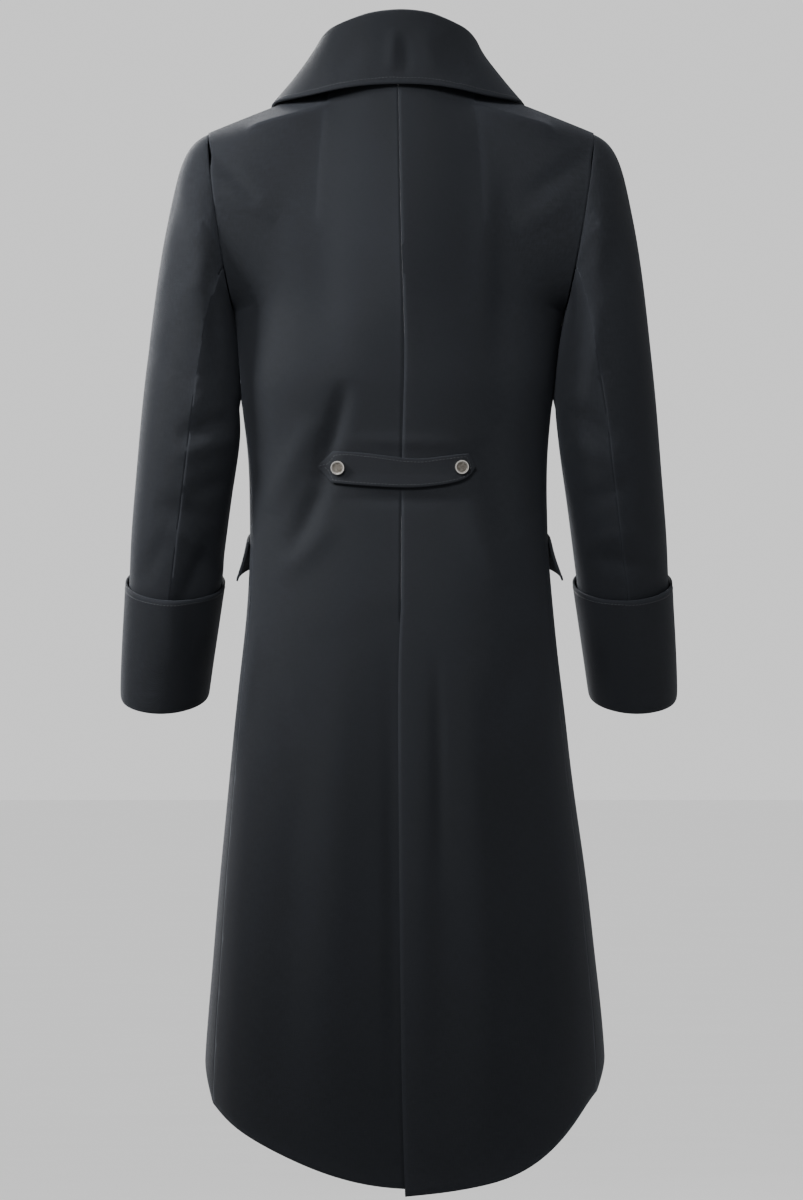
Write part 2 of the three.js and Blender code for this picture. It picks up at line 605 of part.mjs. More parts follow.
function collar() {
  const end = COLLAR.length - 1;
  const grid = steps(COLLAR_SHAPE.sections, -end, end).map((station) => collarSection(station));
  return wall(grid, { facing: -1, thick: COLLAR_CLOTH });
}

// A point of a front panel, moved out from it.
function frontMovedOut(side, u, v, out) {
  const p = frontPoint(side, u, v);
  const turn = frontPoint(side, u + 0.02, v).sub(p);
  const rise = frontPoint(side, u, v + 0.01).sub(p);
  return p.addScaledVector(turn.cross(rise).multiplyScalar(side).normalize(), out);
}
function lapel(side) {
  const grid = LAPEL.map(({ row, wide }) => (
    steps(6, 0, wide).map((u) => frontMovedOut(side, u, row / BODICE_ROWS, LAPEL_EASE + CLOTH))));
  return wall(grid, { core: bodyCore });
}

// A point of the back at a given place, moved out from it.
function backMovedOut(x, z, out) {
  const angle = angleAt(1, x, z);
  return bodyPoint(1, angle, z).addScaledVector(ringNormal(1, angle, z), out);
}
function halfBelt() {
  const grid = BELT.map(({ x, top, bottom }) => (
    steps(3, top, bottom).map((z) => backMovedOut(x, z, BELT_EASE + BELT_CLOTH))));
  return wall(grid, { core: bodyCore, thick: BELT_CLOTH });
}

// A round metal stud with a raised rim and a sunk middle, standing along a direction.
function stud(place, direction) {
  const { radius, rim, high, dish } = STUD;
  const profile = [[0, 0], [radius - 0.4, 0], [radius, high / 2], [radius - 0.5, high], [radius - rim, high],
    [radius - rim - 0.5, dish], [0, dish]].map(([r, y]) => new THREE.Vector2(r, y));
  const geometry = new THREE.LatheGeometry(profile, 16);
  geometry.applyQuaternion(new THREE.Quaternion().setFromUnitVectors(new THREE.Vector3(0, 1, 0), direction));
  return geometry.translate(...place.toArray());
}
function beltStud({ x, z }) {
  const out = ringNormal(1, angleAt(1, x, z), z);
  return stud(backMovedOut(x, z, BELT_EASE + BELT_CLOTH + LAP), out);
}
function frontStud(z) {
  const place = bodyPoint(1, Math.PI, z);
  place.y -= FRONT_LAP.step + LAP;
  return stud(place, new THREE.Vector3(0, -1, 0));
}

function flap(side) {
  const grid = steps(3).map((down) => steps(8).map((along) => {
    const angle = rad(lerp(FLAP.from, FLAP.to, along));
    const z = FLAP.top + FLAP.rise * along - FLAP.deep * down;
    const { top, back, front } = FLAP.stand;
    const stand = lerp(top, lerp(back, front, along), down ** FLAP.curve);
    return bodyPoint(side, angle, z).addScaledVector(ringNormal(side, angle, z), stand);
  }));
  return wall(grid, { core: bodyCore });
}

const mesh = (name, geometry, material) => {
  const piece = new THREE.Mesh(geometry, material);
  piece.name = name;
  return piece;
};

const coat = new THREE.Group();
for (const [name, side] of [['left', 1], ['right', -1]]) {
  coat.add(mesh(`back_${name}`, bodyPanel(side, backPoint), NAVY_BLACK));
  coat.add(mesh(`front_${name}`, bodyPanel(side, frontPoint), NAVY_BLACK));
  coat.add(mesh(`sleeve_top_${name}`, topSleeve(side), NAVY_BLACK));
  coat.add(mesh(`sleeve_under_${name}`, underSleeve(side), NAVY_BLACK));
  coat.add(mesh(`cuff_${name}`, cuff(side), NAVY_BLACK));
  coat.add(mesh(`lapel_${name}`, lapel(side), DARK_FACING));
  coat.add(mesh(`pocket_flap_${name}`, flap(side), NAVY_BLACK));
}
coat.add(mesh('collar', collar(), NAVY_BLACK));
coat.add(mesh('half_belt', halfBelt(), NAVY_BLACK));
for (const place of BELT_STUDS) {
  coat.add(mesh(`belt_stud_${place.name}`, beltStud(place), STEEL));
}
FRONT_STUDS.forEach((z, index) => {
  coat.add(mesh(`front_stud_${index + 1}`, frontStud(z), STEEL));
});

export default coat;
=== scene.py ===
# %% [markdown]
# # A long tailcoat, worn
# The coat keeps the shape it has on a wearer's shoulders, with nobody inside. The packed model
# gives every cut piece of cloth as a plain wall. Each lesson below takes one of those walls and
# makes the cloth of it: rounder, creased, woven and sewn.

# %% Load the frame
import math

import bmesh
import bpy
import numpy as np
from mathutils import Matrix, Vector
from mathutils.bvhtree import BVHTree


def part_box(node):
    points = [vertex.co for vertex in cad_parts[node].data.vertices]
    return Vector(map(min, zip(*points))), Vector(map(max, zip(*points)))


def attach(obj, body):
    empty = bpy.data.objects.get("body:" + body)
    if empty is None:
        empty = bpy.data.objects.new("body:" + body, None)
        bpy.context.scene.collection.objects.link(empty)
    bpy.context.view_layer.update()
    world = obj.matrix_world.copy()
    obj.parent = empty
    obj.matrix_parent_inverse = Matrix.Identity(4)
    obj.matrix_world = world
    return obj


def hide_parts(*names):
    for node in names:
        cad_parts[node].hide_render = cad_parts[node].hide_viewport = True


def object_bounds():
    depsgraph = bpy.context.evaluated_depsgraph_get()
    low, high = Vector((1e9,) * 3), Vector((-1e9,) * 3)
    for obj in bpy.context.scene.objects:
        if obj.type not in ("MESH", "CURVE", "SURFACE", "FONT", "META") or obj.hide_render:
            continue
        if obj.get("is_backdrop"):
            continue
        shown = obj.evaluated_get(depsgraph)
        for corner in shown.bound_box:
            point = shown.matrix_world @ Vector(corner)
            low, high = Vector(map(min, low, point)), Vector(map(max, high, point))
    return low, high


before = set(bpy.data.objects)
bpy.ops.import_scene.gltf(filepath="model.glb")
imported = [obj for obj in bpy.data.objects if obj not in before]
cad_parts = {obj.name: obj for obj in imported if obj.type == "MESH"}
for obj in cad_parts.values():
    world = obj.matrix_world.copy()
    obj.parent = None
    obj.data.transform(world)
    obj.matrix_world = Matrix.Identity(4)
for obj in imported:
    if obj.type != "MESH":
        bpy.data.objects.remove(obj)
CAD_LOW, CAD_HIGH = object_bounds()
MM = 0.001
print("nodes:", len(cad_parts), "size:", [round(v, 3) for v in CAD_HIGH - CAD_LOW])

# %% [markdown]
# ## The camera and the room
# The photo looks straight at the back of the coat from far away, so upright edges stay upright.
# The frame is taller than wide, and at the coat each of its 803 by 1200 steps is 1.12 mm.
# The camera stands on the +Y side, where the back faces, level with the middle of the coat.

# %% Camera
FRAME_WIDE, FRAME_HIGH = 803, 1200
STEP = 1.12 * MM
COAT_COLUMN, COLLAR_ROW = 401, 85      # where x = 0 and z = 0 are in the frame
COAT_MIDDLE_Y = 0.02
FRAME_MIDDLE = Vector(((COAT_COLUMN - FRAME_WIDE / 2) * STEP, COAT_MIDDLE_Y,
                       (COLLAR_ROW - FRAME_HIGH / 2) * STEP))
CAMERA_AWAY = 24.0
SENSOR_WIDE = 36
SIGHT = 150

camera_data = bpy.data.cameras.new("camera")
camera = bpy.data.objects.new("camera", camera_data)
bpy.context.scene.collection.objects.link(camera)
bpy.context.scene.camera = camera
camera.location = FRAME_MIDDLE + Vector((0, CAMERA_AWAY, 0))
camera.rotation_euler = (math.pi / 2, 0, math.pi)
camera_data.sensor_width = SENSOR_WIDE
camera_data.lens = camera_data.sensor_width * CAMERA_AWAY / (FRAME_HIGH * STEP)
camera_data.clip_end = SIGHT
print("lens", round(camera_data.lens, 1), "mm from", CAMERA_AWAY, "m")

# %% [markdown]
# ## Socket sums
# Materials are small sums on sockets. This class wraps a socket, so that a sum reads like
# arithmetic, and one method adds any other node: its type, its settings, then its inputs.


# %% Shader helper
class Socket:
    """A socket of a material's tree that can be added, multiplied and compared."""

    def __init__(self, tree, socket):
        self.tree = tree
        self.socket = socket

    def node(self, kind, settings=None, output=0, **inputs):
        made = self.tree.nodes.new(kind)
        for key, value in (settings or {}).items():
            setattr(made, key, value)
        for key, value in inputs.items():
            place = int(key[1:]) if key[0] == "i" and key[1:].isdigit() else key.replace("_", " ")
            if isinstance(value, Socket):
                self.tree.links.new(value.socket, made.inputs[place])
            else:
                made.inputs[place].default_value = value
        return Socket(self.tree, made.outputs[output])

    def math(self, operation, other=0.0, first=None):
        a = self if first is None else first
        return self.node("ShaderNodeMath", {"operation": operation}, i0=a, i1=other)

    def __add__(self, other):
        return self.math("ADD", other)

    def __sub__(self, other):
        return self.math("SUBTRACT", other)

    def __mul__(self, other):
        return self.math("MULTIPLY", other)

    def __pow__(self, other):
        return self.math("POWER", other)

    def __rsub__(self, other):
        return self.math("SUBTRACT", self, first=other)

    __radd__ = __add__
    __rmul__ = __mul__

    def sine(self):
        return self.math("SINE")

    def clamp(self, low, high):
        return self.node("ShaderNodeClamp", i0=self, i1=low, i2=high)

    def mix(self, first, second):
        return self.node("ShaderNodeMix", {"data_type": "RGBA"}, output=2,
                         i0=self, i6=first, i7=second)


def new_material(name):
    material = bpy.data.materials.new(name)
    material.use_nodes = True
    tree = material.node_tree
    shader = tree.nodes["Principled BSDF"]
    return material, Socket(tree, shader.outputs[0]), shader


def feed(shader, key, value):
    value.tree.links.new(value.socket, shader.inputs[key])


print("socket sums ready:", [name for name in vars(Socket) if not name.startswith("__")])

# %% [markdown]
# ## The coat's cloth
# The cloth is a dense cotton twill, dyed a black that leans to navy, with hardly any shine. Its
# fine slanting ribs are smaller than a step of the photo, and what shows is a faint streakiness
# along the threads. The pattern follows each piece's own UV map, in metres along the cloth, so
# the ribs turn with the sleeve as real cloth does.

# %% Cloth material
TWILL_RIB = 1.1 * MM
DYE = (0.0038, 0.0043, 0.0052, 1)
# The paler dye shows wear and slubs, and near cut edges it is also a painted highlight.
DYE_WORN_AND_HIGHLIGHT = (0.0096, 0.0106, 0.0133, 1)
NOISE = {"slub": 900.0, "cross_slub": 700.0, "cloud": 7.0, "pucker": 70.0}
ALONG_ONE_THREAD = 0.16                # a slub is about six times longer than wide
ACROSS_ONE_THREAD = 0.14
BUMP_STRENGTH, BUMP_DEPTH = 0.35, 0.6 * MM
SHEEN = {"Sheen Weight": 0.03, "Sheen Roughness": 0.45, "Sheen Tint": (0.62, 0.68, 0.82, 1),
         "Specular IOR Level": 0.06}


def coat_cloth(name):
    material, start, shader = new_material(name)
    uv = start.node("ShaderNodeUVMap", {"uv_map": "weave"})
    parts = start.node("ShaderNodeSeparateXYZ", i0=uv)
    across, along = parts, Socket(parts.tree, parts.socket.node.outputs[1])
    rib = ((across + along) * (2 * math.pi / TWILL_RIB)).sine()
    thread = start.node("ShaderNodeMapping", i0=uv, Scale=(1.0, ALONG_ONE_THREAD, 1.0))
    slub = start.node("ShaderNodeTexNoise", i0=thread, Scale=NOISE["slub"], Detail=3.0)
    weft = start.node("ShaderNodeMapping", i0=uv, Scale=(ACROSS_ONE_THREAD, 1.0, 1.0))
    cross_slub = start.node("ShaderNodeTexNoise", i0=weft, Scale=NOISE["cross_slub"], Detail=2.0)
    place = start.node("ShaderNodeTexCoord", output=3)
    cloud = start.node("ShaderNodeTexNoise", i0=place, Scale=NOISE["cloud"], Detail=3.0)
    fleck = (slub * 0.6 + cross_slub * 0.4 - 0.42) * 2.2
    edge = start.node("ShaderNodeAttribute", {"attribute_name": "rim"}, output=2)
    # The edge term paints the cloth paler near each cut edge: partly wear, partly a painted
    # highlight where edges catch the light.
    pale = (fleck * 0.5 + cloud * 0.35 + edge ** 6.0 * 0.22 - 0.12).clamp(0.0, 1.0)
    feed(shader, "Base Color", pale.mix(DYE, DYE_WORN_AND_HIGHLIGHT))
    feed(shader, "Roughness", (cloud * 0.12 + 0.8).clamp(0.0, 1.0))
    pucker = start.node("ShaderNodeTexNoise", i0=place, Scale=NOISE["pucker"], Detail=2.0)
    height = rib * 0.25 + slub * 0.7 + cross_slub * 0.4 + pucker * edge ** 3.0 * 3.0
    feed(shader, "Normal", start.node("ShaderNodeBump", Height=height, Strength=BUMP_STRENGTH,
                                      Distance=BUMP_DEPTH))
    for key, value in SHEEN.items():
        shader.inputs[key].default_value = value
    return material


CLOTH = coat_cloth("coat_twill")
print("cloth:", CLOTH.name, "rib", TWILL_RIB * 1000, "mm")

# %% [markdown]
# ## From a wall to cloth
# Each packed wall is a coarse net of four-sided cells with a second face behind. Its points are
# merged, the triangles are joined back into cells, and the rim is creased so that it stays where
# the cutter put it. Subdividing then rounds the cloth between its sections. A rim value is kept
# on every point, one on the cut edge and zero a cell away, and the materials and seams use it.
# Below the neck's corner the coarse net turns too sharply, so it is evened out there first.

# %% Refining a wall
RIM_TURN = math.radians(38)
MERGE_WITHIN = 0.02 * MM
CELL_FLAT, CELL_SQUARE = math.radians(40), math.radians(60)
SOFT = {"x": 0.09, "reach": 0.07, "below": -0.24, "step": 0.5}


def rim_edges(mesh):
    return [e for e in mesh.edges if len(e.link_faces) == 2 and e.calc_face_angle(0) > RIM_TURN]


def soften(mesh, rim, rounds):
    """Evens out the cloth below the neck's corner, where the pull of two edges makes a line."""
    inner = [v for v in mesh.verts if v[rim] < 0.5 and v.co.z > SOFT["below"]]
    for _ in range(rounds):
        moves = {}
        for vert in inner:
            ends = [edge.other_vert(vert).co for edge in vert.link_edges]
            mean = sum(ends, Vector()) / len(ends)
            away = (abs(vert.co.x) - SOFT["x"]) / SOFT["reach"]
            moves[vert] = vert.co.lerp(mean, SOFT["step"] * math.exp(-away * away))
        for vert, place in moves.items():
            vert.co = place


def refined(node, levels, soft_rounds=0):
    mesh = bmesh.new()
    mesh.from_mesh(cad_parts[node].data)
    bmesh.ops.remove_doubles(mesh, verts=mesh.verts, dist=MERGE_WITHIN)
    bmesh.ops.join_triangles(mesh, faces=mesh.faces, angle_face_threshold=CELL_FLAT,
                             angle_shape_threshold=CELL_SQUARE)
    crease = mesh.edges.layers.float.new("crease_edge")
    rim = mesh.verts.layers.float.new("rim")
    for edge in rim_edges(mesh):
        edge[crease] = 1.0
        for corner in edge.verts:
            corner[rim] = 1.0
    soften(mesh, rim, soft_rounds)
    data = bpy.data.meshes.new(node)
    mesh.to_mesh(data)
    mesh.free()
    coarse = bpy.data.objects.new("coarse", data)
    bpy.context.scene.collection.objects.link(coarse)
    smooth = coarse.modifiers.new("round", "SUBSURF")
    smooth.levels = smooth.render_levels = levels
    smooth.boundary_smooth = "PRESERVE_CORNERS"
    shown = coarse.evaluated_get(bpy.context.evaluated_depsgraph_get())
    fine = bpy.data.meshes.new_from_object(shown)
    bpy.data.objects.remove(coarse)
    return fine


def points_of(mesh):
    flat = np.empty(len(mesh.vertices) * 3)
    mesh.vertices.foreach_get("co", flat)
    return flat.reshape(-1, 3)


def rim_of(mesh):
    flat = np.zeros(len(mesh.vertices))
    if "rim" in mesh.attributes:
        mesh.attributes["rim"].data.foreach_get("value", flat)
    return flat


print("an edge that turns over", round(math.degrees(RIM_TURN)), "degrees is a rim")

# %% [markdown]
# ## Closing the seams
# The packed walls stand a little apart, and light would shine through. A sewn seam has no gap, so
# each rim moves nearly half the way to its neighbour's rim. The rim's seen edge also sinks a
# little, and the seam shows as the fine dark line that two turned edges make.

# %% Seam helper
SEAM_REACH = 1.9 * MM
SEAM_SHARE = 0.47
RIM_ONLY = 0.98


def rim_tree(mesh):
    """A search tree of only the narrow faces on a piece's cut edge."""
    rim = rim_of(mesh)
    faces = [tuple(p.vertices) for p in mesh.polygons if all(rim[v] > RIM_ONLY for v in p.vertices)]
    return BVHTree.FromPolygons([v.co.copy() for v in mesh.vertices], faces)


def close_seams(meshes):
    trees = {name: rim_tree(mesh) for name, mesh in meshes.items()}
    moved = 0
    for name, mesh in meshes.items():
        points, rim = points_of(mesh), rim_of(mesh)
        others = [tree for other, tree in trees.items() if other != name]
        for index in np.nonzero(rim > RIM_ONLY)[0]:
            place = Vector(points[index])
            found = [tree.find_nearest(place, SEAM_REACH) for tree in others]
            near = [hit for hit in found if hit[0] is not None]
            if near:
                hit = min(near, key=lambda h: h[3])
                points[index] += np.array((hit[0] - place) * SEAM_SHARE)
                moved += 1
        mesh.vertices.foreach_set("co", points.ravel())
    return moved


print("seams close from", round(SEAM_REACH / MM, 1), "mm or less")

# %% [markdown]
# ## Which way is out
# A crease has to move both faces of the wall the same way, or the cloth would swell. So each
# family of pieces has a direction that points out of the hollow it goes round: away from the
# coat's upright axis for the body, turning upward on the shoulders, and away from the arm's own
# line for sleeves and cuffs.

# %% Outward directions
BODY_WIDE, BODY_DEEP = 0.19, 0.12
SHOULDER_HIGH, SHOULDER_TILT = 0.16, 1.2
ARM_LINE = np.array([                  # x, y, z down the wearer's left arm
    [0.199, 0.0, -0.157], [0.222, 0.002, -0.217], [0.229, 0.004, -0.328], [0.236, -0.004, -0.407],
    [0.246, -0.038, -0.520], [0.253, -0.066, -0.598], [0.262, -0.100, -0.700],
])


def unit(vectors):
    return vectors / np.maximum(np.linalg.norm(vectors, axis=1, keepdims=True), 1e-9)


def out_of_body(points):
    away = unit(points * np.array([1 / BODY_WIDE ** 2, 1 / BODY_DEEP ** 2, 0]))
    high = np.clip((points[:, 2] + SHOULDER_HIGH) / SHOULDER_HIGH, 0, 1)
    away[:, 2] += high * SHOULDER_TILT
    return unit(away)


def out_of_arm(points):
    """Away from the arm's line. The right arm's line is the left one with its x turned over."""
    down, line_down = -points[:, 2], -ARM_LINE[:, 2]
    middle_x, middle_y = (np.interp(down, line_down, ARM_LINE[:, k]) for k in range(2))
    away = points.copy()
    away[:, 0] -= middle_x * np.sign(points[:, 0])
    away[:, 1] -= middle_y
    away[:, 2] = 0
    return unit(away)


print("arm line:", len(ARM_LINE), "places, to z =", ARM_LINE[-1, 2])

# %% [markdown]
# ## Creases
# A crease is a soft trough or ridge along a line on the coat, seen from the back or the front. It
# is deepest in its middle and dies out at both ends and to the sides. Each row is one crease: the
# face it is on, its two ends, how wide it is and how far it lifts, in millimetres. A lift below
# zero is a trough. The rows come from looking hard at the photo, and the hidden side has a few of
# the same kind. One factor then deepens them all.

# %% Crease tables
CREASE_DEPTH = 1.7
# Columns: face, from x, from z, to x, to z, width, lift
BODY_CREASES = [
    ("back", 60, -330, 96, -452, 11, -4.2),
    ("back", 80, -428, 126, -530, 12, -4.4),
    ("back", 98, -372, 146, -480, 15, 2.8),
    ("back", 72, -486, 138, -556, 14, 2.2),
    ("back", 232, -58, 158, -132, 10, -3.4),
    ("back", 200, -112, 138, -150, 14, 1.8),
    ("back", -226, -70, -132, -132, 12, -2.4),
    ("back", -190, -128, -120, -166, 14, 1.6),
    ("back", -98, -60, -92, -300, 16, 1.6),
    ("back", -118, -90, -112, -420, 18, -2.0),
    ("back", 86, -110, 78, -330, 20, -1.4),
    ("back", 120, -130, 116, -330, 22, 1.4),
    ("back", -84, -396, -126, -510, 14, -2.8),
    ("back", -112, -380, -146, -480, 14, 1.8),
    ("back", -66, -470, -120, -560, 16, 1.8),
    ("back", 74, -464, -74, -466, 7, -1.4),
    ("back", 70, -398, -72, -402, 8, 1.3),
    ("back", 160, -600, 174, -720, 7, 1.8),
    ("back", 150, -640, 120, -740, 15, -2.0),
    ("back", -150, -610, -112, -720, 17, -1.6),
    ("back", 12, -616, 8, -1210, 9, -1.6),
    ("back", -22, -640, -24, -1190, 15, 1.6),
    ("back", -40, -630, -44, -900, 7, -1.2),
    ("back", 64, -620, 88, -1190, 26, 2.8),
    ("back", 112, -690, 138, -1150, 22, -2.8),
    ("back", -74, -640, -98, -1190, 26, 2.6),
    ("back", -122, -680, -150, -1140, 23, -2.8),
    ("front", 20, -352, 110, -318, 12, -2.0),
    ("front", -20, -402, -104, -372, 12, -1.8),
    ("front", 18, -452, 96, -430, 12, -1.8),
    ("front", -24, -452, -100, -440, 11, -1.5),
    ("front", 130, -330, 150, -470, 16, -2.2),
    ("front", -128, -340, -150, -480, 16, -2.4),
    ("front", 150, -640, 170, -960, 24, 2.4),
    ("front", -150, -640, -172, -960, 24, 2.4),
    ("front", 180, -110, 136, -230, 14, -2.0),
    ("front", -180, -120, -138, -220, 14, -2.0),
]
SLEEVE_CREASES = {
    "left": [
        ("back", 262, -96, 236, -226, 13, -1.8),
        ("back", 214, -200, 202, -330, 9, -2.0),
        ("back", 286, -290, 226, -352, 12, -2.0),
        ("back", 188, -372, 250, -396, 11, -3.0),
        ("back", 184, -398, 258, -414, 10, 2.4),
        ("back", 190, -440, 240, -462, 11, -2.2),
        ("back", 198, -484, 276, -470, 12, -2.2),
        ("back", 206, -524, 262, -496, 9, 2.0),
        ("back", 208, -498, 252, -592, 10, -3.2),
        ("back", 198, -530, 226, -598, 8, 2.6),
        ("back", 262, -500, 290, -560, 11, -1.6),
        ("front", 190, -300, 262, -340, 13, -3.4),
        ("front", 192, -338, 268, -372, 12, 2.6),
        ("front", 194, -380, 270, -404, 12, -3.0),
        ("front", 204, -450, 280, -446, 13, -2.2),
        ("front", 236, -110, 214, -220, 14, -2.0),
    ],
    "right": [
        ("back", -256, -104, -228, -246, 14, -2.0),
        ("back", -206, -210, -190, -352, 10, -2.6),
        ("back", -222, -240, -206, -370, 9, 1.8),
        ("back", -188, -360, -244, -402, 12, -2.6),
        ("back", -186, -396, -256, -430, 11, 2.0),
        ("back", -196, -468, -262, -448, 12, -2.0),
        ("back", -208, -528, -286, -540, 10, -2.4),
        ("back", -206, -512, -270, -500, 9, 1.6),
        ("front", -190, -310, -260, -336, 13, -3.0),
        ("front", -192, -346, -266, -366, 12, 2.4),
        ("front", -196, -388, -272, -398, 12, -2.8),
        ("front", -206, -462, -278, -452, 13, -2.0),
        ("front", -238, -120, -216, -230, 14, -2.0),
    ],
}
CUFF_CREASES = [
    ("back", 236, -570, 218, -680, 13, -1.8),
    ("back", 262, -566, 250, -660, 14, 1.4),
    ("back", -238, -574, -246, -684, 14, -1.6),
    ("back", -262, -580, -276, -670, 12, 1.2),
    ("front", 262, -580, 250, -680, 14, -1.6),
    ("front", -258, -580, -246, -680, 14, -1.6),
]
COLLAR_CREASES = [
    ("back", 8, 62, 12, 8, 7, 2.2),
    ("back", -3, 60, -6, 10, 7, -2.0),
    ("back", 46, 60, 74, 4, 15, -1.8),
    ("back", -50, 58, -72, 2, 15, -1.8),
    ("back", -26, 64, -34, 8, 11, 1.2),
]
TABLES = [BODY_CREASES, *SLEEVE_CREASES.values(), CUFF_CREASES, COLLAR_CREASES]
print("creases:", sum(len(table) for table in TABLES))

# %% The lift of all creases together
FACE_START, FACE_FADE = 5, 25          # mm behind and across the coat's side, where a face ends


def crease_lift(points, table, middle=0.0):
    """How far each point moves out, in metres, from every crease on its face of the coat."""
    lift = np.zeros(len(points))
    flat = points[:, [0, 2]] / MM
    facing = (points[:, 1] - middle) / MM
    for face, x0, z0, x1, z1, width, rise in table:
        start, run = np.array([x0, z0]), np.array([x1 - x0, z1 - z0])
        share = ((flat - start) @ run) / (run @ run)
        bow = np.sin(np.clip(share, 0, 1) * math.pi)
        near = start + np.clip(share, 0, 1)[:, None] * run
        away = np.linalg.norm(flat - near, axis=1)
        side = facing if face == "back" else -facing
        on_face = np.clip((side + FACE_START) / FACE_FADE, 0, 1)
        lift += rise * bow ** 0.8 * np.exp(-((away / width) ** 2)) * on_face
    return lift * CREASE_DEPTH * MM


print("deepest trough:", round(min(row[-1] for row in BODY_CREASES) * CREASE_DEPTH, 1), "mm")

# %% [markdown]
# ## The arm against the side
# Below the armhole the sleeve rests on the coat's side, and no light comes between them. The
# space between them is measured first, level by level, on the walls at rest. Then each comes
# forward by half of it and a little more, and the sleeve sinks a little into a shallow dent.

# %% Contact of sleeve and side
SIDES = ("left", "right")
PRESS = {"top": -0.230, "bottom": -0.362, "fade": 0.014, "dent": 1.2 * MM, "wide": 0.022,
         "touch": 0.9 * MM}
GAP_LEVELS = np.arange(-0.384, -0.222, 0.006)
RING_WITHIN = 4 * MM
HALF_GAP = {}
NEAREST = {"arm": {}, "body": {}}


def measure_gap(walls, side):
    """Half the space between sleeve and side at each level, and how far back each is nearest."""
    arm, body = (np.vstack([points_of(walls[f"{name}_{side}"]) for name in pair])
                 for pair in (("sleeve_top", "sleeve_under"), ("back", "front")))
    halves, arm_back, body_back = [], [], []
    for level in GAP_LEVELS:
        arm_ring = arm[np.abs(arm[:, 2] - level) < RING_WITHIN]
        body_ring = body[np.abs(body[:, 2] - level) < RING_WITHIN]
        arm_near = arm_ring[np.abs(arm_ring[:, 0]).argmin()]
        body_near = body_ring[np.abs(body_ring[:, 0]).argmax()]
        halves.append(max(0.0, abs(arm_near[0]) - abs(body_near[0])) / 2 + PRESS["touch"])
        arm_back.append(arm_near[1])
        body_back.append(body_near[1])
    HALF_GAP[side] = np.array(halves)
    NEAREST["arm"][side] = np.polyfit(GAP_LEVELS, arm_back, 2)
    NEAREST["body"][side] = np.polyfit(GAP_LEVELS, body_back, 2)


def by_side(points, left, right):
    return np.where(points[:, 0] > 0, left, right)


def half_gap(points):
    return by_side(points, *(np.interp(points[:, 2], GAP_LEVELS, HALF_GAP[side]) for side in SIDES))


def press(points, part):
    """How firmly each point is pressed, from 0 to 1, along the side below the armhole."""
    lines = (np.polyval(NEAREST[part][side], points[:, 2]) for side in SIDES)
    from_line = points[:, 1] - by_side(points, *lines)
    high = np.clip((PRESS["top"] - points[:, 2]) / PRESS["fade"], 0, 1)
    low = np.clip((points[:, 2] - PRESS["bottom"]) / PRESS["fade"], 0, 1)
    return high * low * np.exp(-((from_line / PRESS["wide"]) ** 2))


print("levels where the gap is measured:", len(GAP_LEVELS))

# %% [markdown]
# ## Weave direction
# The weave map runs across the cloth in u and down the grain in v. Round the body it measures
# along the ring, round the arm along the sleeve's ring, so the twill never smears at the sides.

# %% Weave map
def corners_first(mesh, values):
    """The first corner's value of each corner's own face."""
    start = np.empty(len(mesh.polygons), np.int32)
    total = np.empty(len(mesh.polygons), np.int32)
    mesh.polygons.foreach_get("loop_start", start)
    mesh.polygons.foreach_get("loop_total", total)
    return np.repeat(values[start], total)


def weave_map(mesh, points, centre_x, centre_y, radius):
    around = np.arctan2(points[:, 0] - centre_x, points[:, 1] - centre_y) * radius
    per_point = np.stack([around, points[:, 2]], axis=1)
    corner = np.empty(len(mesh.loops), np.int32)
    mesh.loops.foreach_get("vertex_index", corner)
    values = per_point[corner]
    first = corners_first(mesh, values[:, 0])
    turn = 2 * math.pi * radius
    values[:, 0] -= np.round((values[:, 0] - first) / turn) * turn
    layer = mesh.uv_layers.get("weave") or mesh.uv_layers.new(name="weave")
    layer.data.foreach_set("uv", values.ravel())
    for other in [u for u in mesh.uv_layers if u.name != "weave"]:
        mesh.uv_layers.remove(other)


BODY_WEAVE = (0.0, 0.0, 0.17)          # middle x, middle y and radius of the ring
print("body ring:", round(2 * math.pi * BODY_WEAVE[2], 2), "m")

# %% [markdown]
# ## A finished piece of cloth
# Each refined wall sinks a little at its rim and moves out by its creases. It then gets the
# weave map, the cloth and smooth faces, and its packed wall is hidden.

# %% A finished piece of cloth
SMOOTH_BELOW = math.radians(50)
RIM_SINK = 0.4 * MM


def make_cloth(node, lift, outward=out_of_body, weave=BODY_WEAVE):
    mesh = walls[node]
    points = points_of(mesh)
    sink = RIM_SINK * np.clip(2 * rim_of(mesh) - 1, 0, 1) ** 2
    points = points + outward(points) * (lift(points) - sink)[:, None]
    mesh.vertices.foreach_set("co", points.ravel())
    weave_map(mesh, points, *weave)
    mesh.materials.clear()
    mesh.materials.append(CLOTH)
    for polygon in mesh.polygons:
        polygon.use_smooth = True
    mesh.set_sharp_from_angle(angle=SMOOTH_BELOW)
    mesh.update()
    piece = bpy.data.objects.new(f"{node}_cloth", mesh)
    bpy.context.scene.collection.objects.link(piece)
    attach(piece, "root")
    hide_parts(node)
    return piece


print("faces turn smoothly below", round(math.degrees(SMOOTH_BELOW)), "degrees")

# %% [markdown]
# ## Refine and sew
# All the walls are refined first, at rest and without creases. Then the seams are closed from
# these still shapes, so that both sides of a seam meet before any crease moves them together.

# %% Refine and close
LEVELS = 3
CUFF_LEVELS = 2
SOFT_ROUNDS = {"back": 16, "front": 2, "sleeve_top": 0, "sleeve_under": 0}
walls = {}
for side in SIDES:
    for family, rounds in SOFT_ROUNDS.items():
        walls[f"{family}_{side}"] = refined(f"{family}_{side}", LEVELS, rounds)
print("seam points moved:", close_seams(walls))
for side in SIDES:
    measure_gap(walls, side)
    print(side, "half gap to the sleeve, mm:", [round(v / MM, 1) for v in HALF_GAP[side]])
for side in SIDES:
    for family in ("lapel", "pocket_flap"):
        walls[f"{family}_{side}"] = refined(f"{family}_{side}", LEVELS)
    walls[f"cuff_{side}"] = refined(f"cuff_{side}", CUFF_LEVELS)
for node in ("collar", "half_belt"):
    walls[node] = refined(node, LEVELS)

